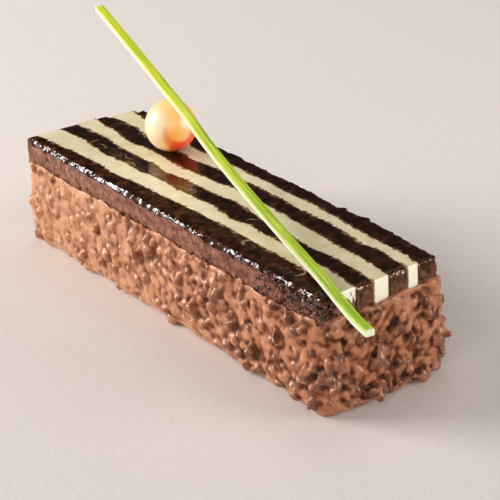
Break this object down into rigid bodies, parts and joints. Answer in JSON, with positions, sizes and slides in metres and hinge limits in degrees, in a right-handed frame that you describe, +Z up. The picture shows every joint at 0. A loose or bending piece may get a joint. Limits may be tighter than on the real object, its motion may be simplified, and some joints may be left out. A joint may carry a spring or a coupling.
{
  "type": "entremet cake",
  "caption": "Long entremet cake: nut-studded milk chocolate base, striped dark and cream slab on top, a glazed ball and a leaning green stalk.",
  "frame": {"origin": "middle of the base's flat underside, on the surface the cake stands on", "axes": "+X along the cake to its near end, +Y across it to the far long side, +Z up"},
  "size_m": [0.3163, 0.08, 0.1053],
  "materials": {
    "milk_chocolate_coat": "semi-gloss milk chocolate coat over chopped nuts",
    "dark_sponge": "dark chocolate sponge under a clear glaze",
    "cream": "pale vanilla cream under a thin clear glaze",
    "ball_shell": "pearly peach to orange glazed shell",
    "green_stalk": "fresh green skin over pale flesh"
  },
  "bodies": {
    "root": {"coated_base": "milk_chocolate_coat", "dark_strip_1": "dark_sponge", "dark_strip_2": "dark_sponge", "dark_strip_3": "dark_sponge", "dark_strip_4": "dark_sponge", "cream_strip_1": "cream", "cream_strip_2": "cream", "cream_strip_3": "cream", "ball": "ball_shell", "green_stalk": "green_stalk"}
  },
  "joints": []
}
